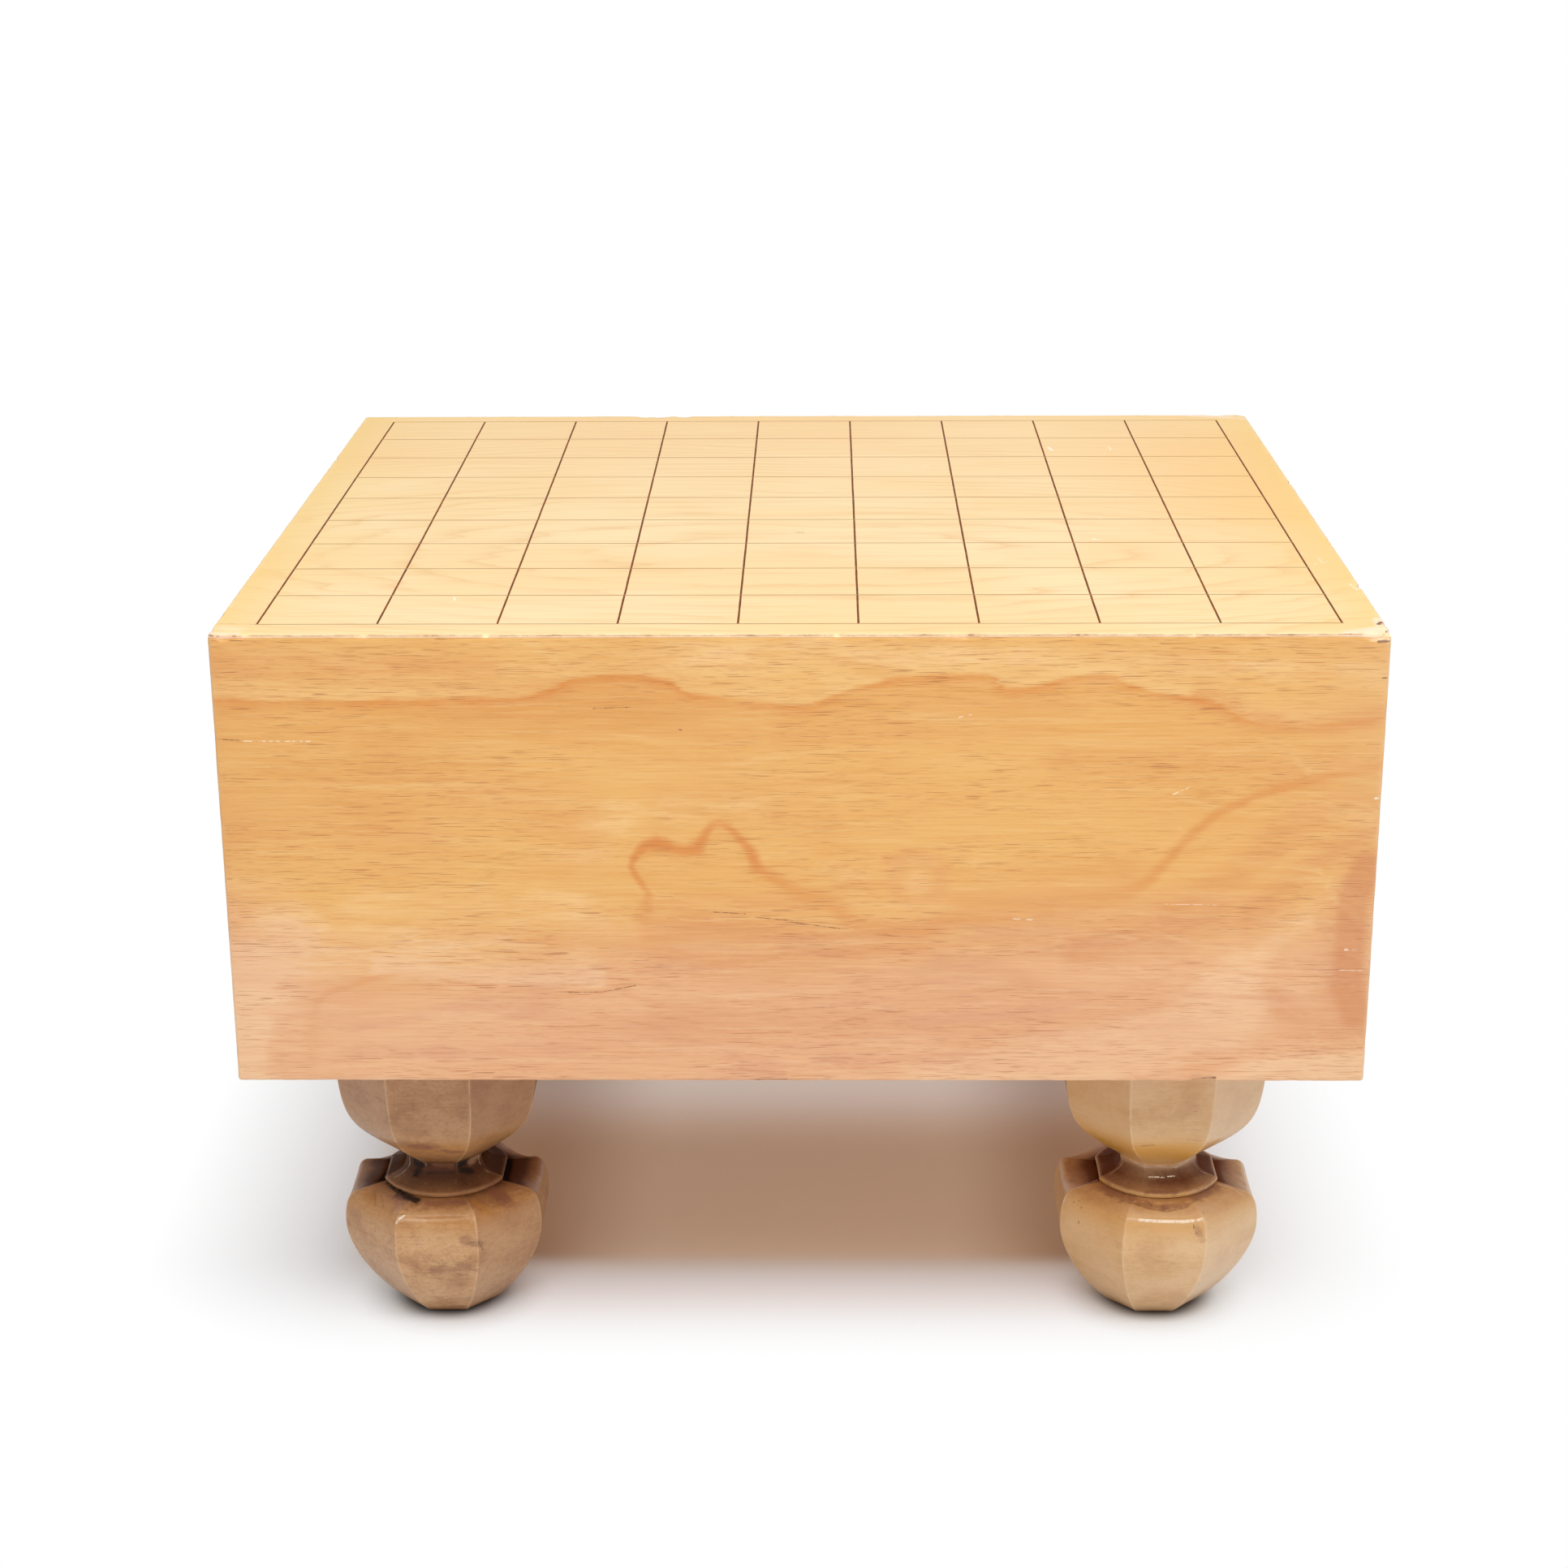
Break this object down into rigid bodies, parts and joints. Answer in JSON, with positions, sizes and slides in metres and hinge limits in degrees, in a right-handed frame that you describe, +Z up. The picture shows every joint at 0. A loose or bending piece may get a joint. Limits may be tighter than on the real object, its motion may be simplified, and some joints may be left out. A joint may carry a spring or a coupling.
{
  "type": "footed shogi board",
  "caption": "Thick wooden game board with a lacquered square grid on a pale top sheet, standing on carved octagonal legs with square tenons.",
  "frame": {"origin": "on the floor, under the middle of the board", "axes": "+X along the board's long side, +Y from the pictured long side to the back, +Z up"},
  "size_m": [0.364, 0.333, 0.2582],
  "materials": {
    "block_wood": "satin lacquer",
    "sheet_wood": "satin lacquer",
    "line_lacquer": "semi-gloss",
    "leg_wood": "satin lacquer"
  },
  "bodies": {
    "board": {"block": "block_wood", "top_sheet": "sheet_wood", "lines_across": "line_lacquer", "lines_along": "line_lacquer"},
    "front_left_leg": {"leg_front_left": "leg_wood"},
    "front_right_leg": {"leg_front_right": "leg_wood"},
    "back_left_leg": {"leg_back_left": "leg_wood"},
    "back_right_leg": {"leg_back_right": "leg_wood"}
  },
  "joints": [
    {"name": "front_left_tenon", "type": "slide", "parent": "board", "child": "front_left_leg", "axis": [0, 0, -1], "range_m": [0, 0.024]},
    {"name": "front_right_tenon", "type": "slide", "parent": "board", "child": "front_right_leg", "axis": [0, 0, -1], "range_m": [0, 0.024]},
    {"name": "back_left_tenon", "type": "slide", "parent": "board", "child": "back_left_leg", "axis": [0, 0, -1], "range_m": [0, 0.024]},
    {"name": "back_right_tenon", "type": "slide", "parent": "board", "child": "back_right_leg", "axis": [0, 0, -1], "range_m": [0, 0.024]}
  ]
}
